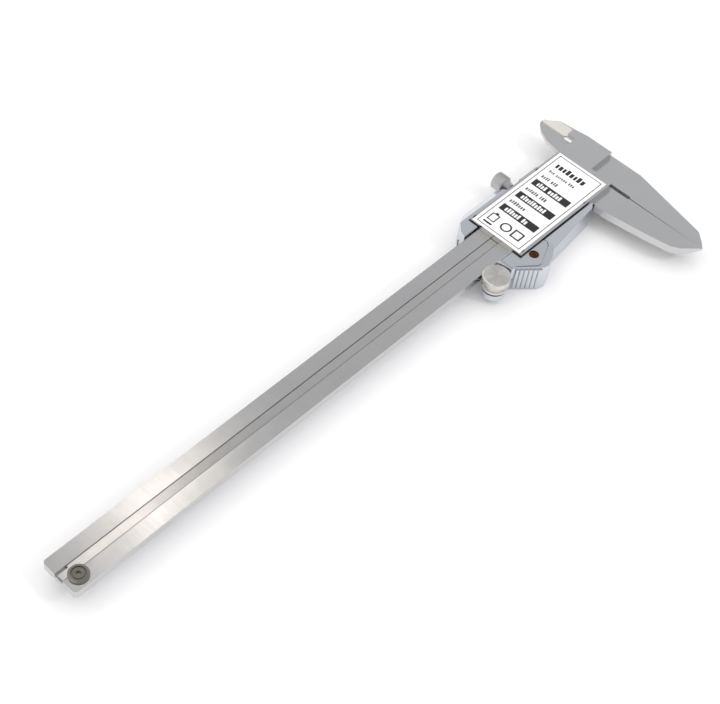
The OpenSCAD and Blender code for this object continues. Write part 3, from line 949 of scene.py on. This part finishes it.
@dataclass
class Stage:
    """The floor, the tent, the lamps and the camera.

    The overhead lamp lights the floor and the side lamp gives the shadows their direction. Neither shows in
    the metal. The window is what the beam mirrors near its free end, and the card is what the ground bevel
    of the inside jaw mirrors.

    Attributes:
        sky: the tent's linear colour at a height from 0 to 1, from low down to overhead.
        left: its linear colour towards -X, past a direction's X of -0.42 to -0.62.
        front: its linear colour towards -Y, past a direction's Y of -0.2 to -0.36.
        lamps: the lamps.
        angles: the camera's azimuth, elevation and roll in degrees.
        eye: the camera's place in millimetres.
        lens: its focal length in millimetres.
    """

    sky: tuple[tuple[float, tuple[float, ...]], ...] = (
        (0.3, (0.98, 0.99, 1.02, 1)), (0.66, (0.69, 0.70, 0.72, 1)), (0.79, (0.585, 0.585, 0.59, 1)))
    left: tuple[float, ...] = (1.16, 1.12, 1.05, 1)
    front: tuple[float, ...] = (0.72, 0.72, 0.73, 1)
    lamps: tuple[Lamp, ...] = (
        Lamp("overhead", (0.15, -0.01, 0), (0, 0, 1), 1.4, 2.6, 16.5, "FFFDFA", False),
        Lamp("side", (0.15, -0.01, 0), (0.255, -0.675, 0.692), 1.6, 0.09, 3.4, "FFFFFF", False),
        Lamp("window", (0.029, 0, 0), (0.368, 0.405, 0.835), 1.5, 0.13, 0.14, "FFF6EC", True),
        Lamp("card", (0.282, 0.022, 0.003), (-0.22, 0.36, 0.907), 1.5, 0.35, 0.33, "FFF6EA", True))
    angles: tuple[float, float, float] = (-53.64, 51.04, 8.71)
    eye: tuple[float, float, float] = (-146.0, -210.0, 434.9)
    lens: float = 78.14

    def build(self) -> None:
        """Makes everything that isn't part of the object."""
        self.floor()
        self.world()
        for lamp in self.lamps:
            lamp.hang()
        self.camera()

    def floor(self) -> None:
        """Lays a plain pale floor just under the display bezel."""
        bm = bmesh.new()
        bmesh.ops.create_grid(bm, x_segments=1, y_segments=1, size=3.0,
                              matrix=Matrix.Translation((0.14, 0, CAD_BOX[0].z - 0.02 * MM)))
        mesh = bpy.data.meshes.new("floor")
        bm.to_mesh(mesh)
        bm.free()
        mesh.materials.append(FLOOR.material())
        made = bpy.data.objects.new("floor", mesh)
        bpy.context.scene.collection.objects.link(made)

    def world(self) -> None:
        """Surrounds the object with a tent that is greyer overhead, warm on the left and dim in front."""
        world = bpy.data.worlds.new("tent")
        bpy.context.scene.world = world
        world.use_nodes = True
        tree = world.node_tree
        tree.nodes.clear()
        way = add(tree, "ShaderNodeSeparateXYZ", {0: add(tree, "ShaderNodeTexCoord").outputs["Generated"]})
        ramp = add(tree, "ShaderNodeValToRGB", {0: way.outputs[2]})
        stops = ramp.color_ramp.elements
        (stops[0].position, stops[0].color), (stops[1].position, stops[1].color) = self.sky[0], self.sky[2]
        stops.new(self.sky[1][0]).color = self.sky[1][1]
        left = add(tree, "ShaderNodeMapRange",
                   {"Value": way.outputs[0], "From Min": -0.42, "From Max": -0.62},
                   interpolation_type="SMOOTHSTEP")
        front = add(tree, "ShaderNodeMapRange",
                    {"Value": way.outputs[1], "From Min": -0.2, "From Max": -0.36},
                    interpolation_type="SMOOTHSTEP")
        warm = add(tree, "ShaderNodeMix", {0: left.outputs[0], 6: ramp.outputs[0], 7: self.left},
                   data_type="RGBA")
        both = add(tree, "ShaderNodeMix", {0: front.outputs[0], 6: warm.outputs[2], 7: self.front},
                   data_type="RGBA")
        back = add(tree, "ShaderNodeBackground", {"Color": both.outputs[2], "Strength": 1.0})
        add(tree, "ShaderNodeOutputWorld", {"Surface": back.outputs[0]})

    def camera(self) -> None:
        """Sets the camera: the lens, its place, and the angles of its view."""
        azimuth, elevation, roll = (math.radians(a) for a in self.angles)
        flat = math.cos(elevation)
        back = Vector((math.sin(azimuth) * flat, -math.cos(azimuth) * flat, math.sin(elevation)))
        level = Vector((math.cos(azimuth), math.sin(azimuth), 0))
        right = level * math.cos(roll) + back.cross(level) * math.sin(roll)
        data = bpy.data.cameras.new("camera")
        data.lens, data.sensor_width = self.lens, 36.0
        data.clip_start, data.clip_end = 0.01, 20.0
        made = bpy.data.objects.new("camera", data)
        turn = Matrix((right, back.cross(right), back)).transposed().to_4x4()
        made.matrix_world = Matrix.Translation(Vector(self.eye) * MM) @ turn
        bpy.context.scene.collection.objects.link(made)
        bpy.context.scene.camera = made
        bpy.context.scene.view_settings.view_transform = "Standard"


def main() -> None:
    """Builds the sub-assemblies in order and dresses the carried-over nodes."""
    logging.basicConfig(level=logging.INFO, format="%(name)s: %(message)s")
    for part in (Stage(), Beam(), Slider(), Label(), ThumbWheel(), LockScrew(), Housing()):
        before = set(bpy.data.objects)
        part.build()
        for made in bpy.data.objects:
            if made not in before:
                LOG.info("%s: %s", type(part).__name__, made.name)
    for node, finish in CARRIED_OVER.items():
        slots = frame["nodes"][node].data.materials
        slots.clear()
        slots.append(finish.material())
        LOG.info("carried over: %s", node)


if __name__ == "__main__":
    main()
